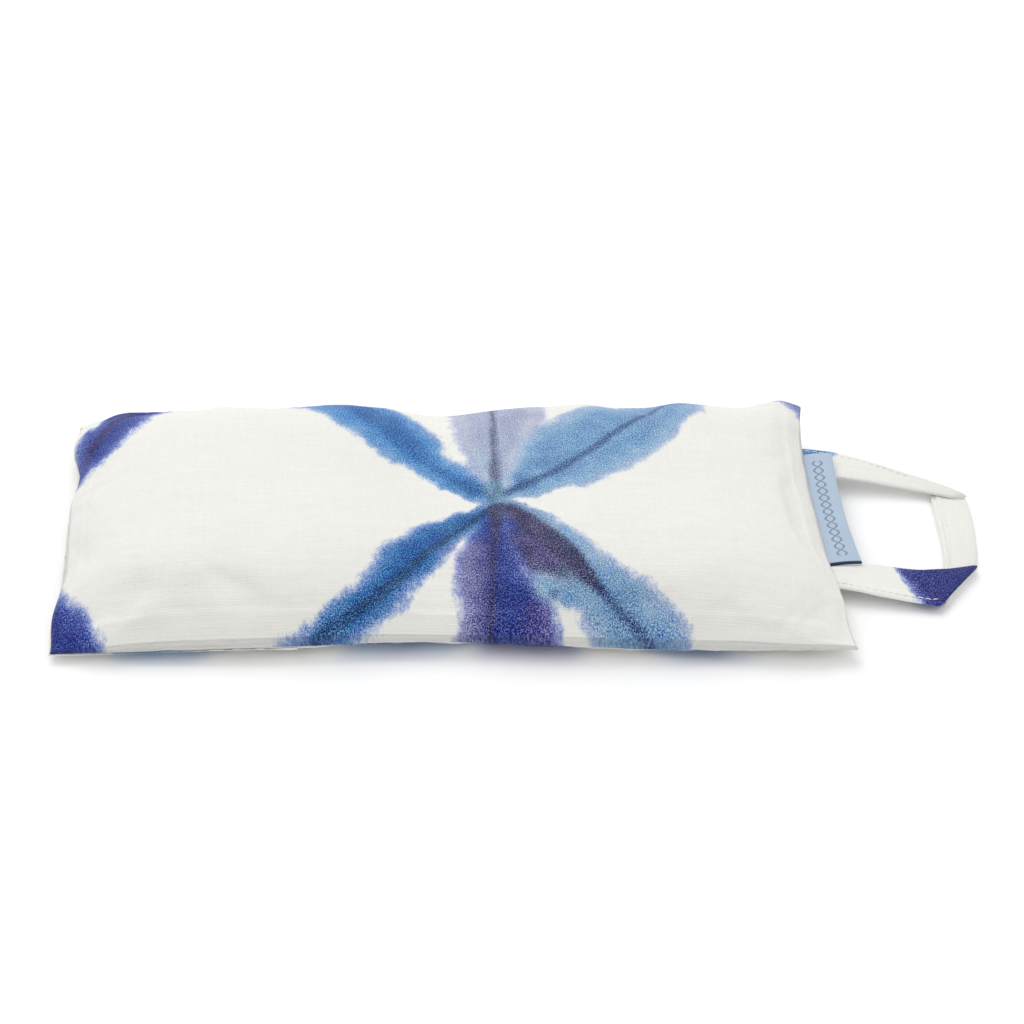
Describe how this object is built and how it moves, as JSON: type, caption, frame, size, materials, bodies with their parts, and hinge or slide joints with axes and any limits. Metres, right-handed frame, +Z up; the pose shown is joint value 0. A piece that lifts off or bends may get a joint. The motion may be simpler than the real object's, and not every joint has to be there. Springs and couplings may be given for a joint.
{
  "type": "eye pillow",
  "caption": "Flat rectangular eye pillow: a dyed cotton envelope cover over a seed-filled pouch, with a hanging loop and a folded label in one end seam.",
  "frame": {"origin": "on the flat underside, at the middle of the cover", "axes": "+X along the pillow to the end with the loop, -Y the front edge, +Z up out of the top cloth"},
  "size_m": [0.2755, 0.11, 0.021],
  "materials": {
    "dyed_cotton": "matte",
    "muslin": "matte",
    "flax_seed": "satin",
    "sewing_thread": "matte",
    "label_damask": "satin"
  },
  "bodies": {
    "pillow_right": {"cover_top_right": "dyed_cotton", "cover_back_right": "dyed_cotton", "cover_seam_thread_right": "sewing_thread", "pouch_top_right": "muslin", "pouch_bottom_right": "muslin", "pouch_seam_thread_right": "sewing_thread", "seed_fill_right": "flax_seed", "loop_sewn_end_back": "dyed_cotton", "loop_sewn_end_front": "dyed_cotton", "label_sewn_end": "label_damask"},
    "pillow_left": {"cover_top_left": "dyed_cotton", "cover_back_left": "dyed_cotton", "cover_back_flap": "dyed_cotton", "cover_seam_thread_left": "sewing_thread", "flap_hem_thread": "sewing_thread", "slit_hem_thread": "sewing_thread", "pouch_top_left": "muslin", "pouch_bottom_left": "muslin", "pouch_seam_thread_left": "sewing_thread", "seed_fill_left": "flax_seed"},
    "loop": {"hanging_loop": "dyed_cotton", "loop_thread_back": "sewing_thread", "loop_thread_far": "sewing_thread", "loop_thread_front": "sewing_thread"},
    "label": {"woven_label": "label_damask"}
  },
  "joints": [
    {"name": "waist_fold", "type": "hinge", "parent": "pillow_right", "child": "pillow_left", "pos_m": [-0.006, 0, 0.0203], "axis": [0, 1, 0], "range_deg": [0, 60]},
    {"name": "loop_swing", "type": "hinge", "parent": "pillow_right", "child": "loop", "pos_m": [0.1166, 0, 0.0078], "axis": [0, -1, 0], "range_deg": [-70, 90]},
    {"name": "label_flex", "type": "hinge", "parent": "pillow_right", "child": "label", "pos_m": [0.1166, 0, 0.0078], "axis": [0, -1, 0], "range_deg": [-70, 90]}
  ],
  "couplings": [
    {"joint": "label_flex", "follows": "loop_swing", "ratio": 1}
  ]
}
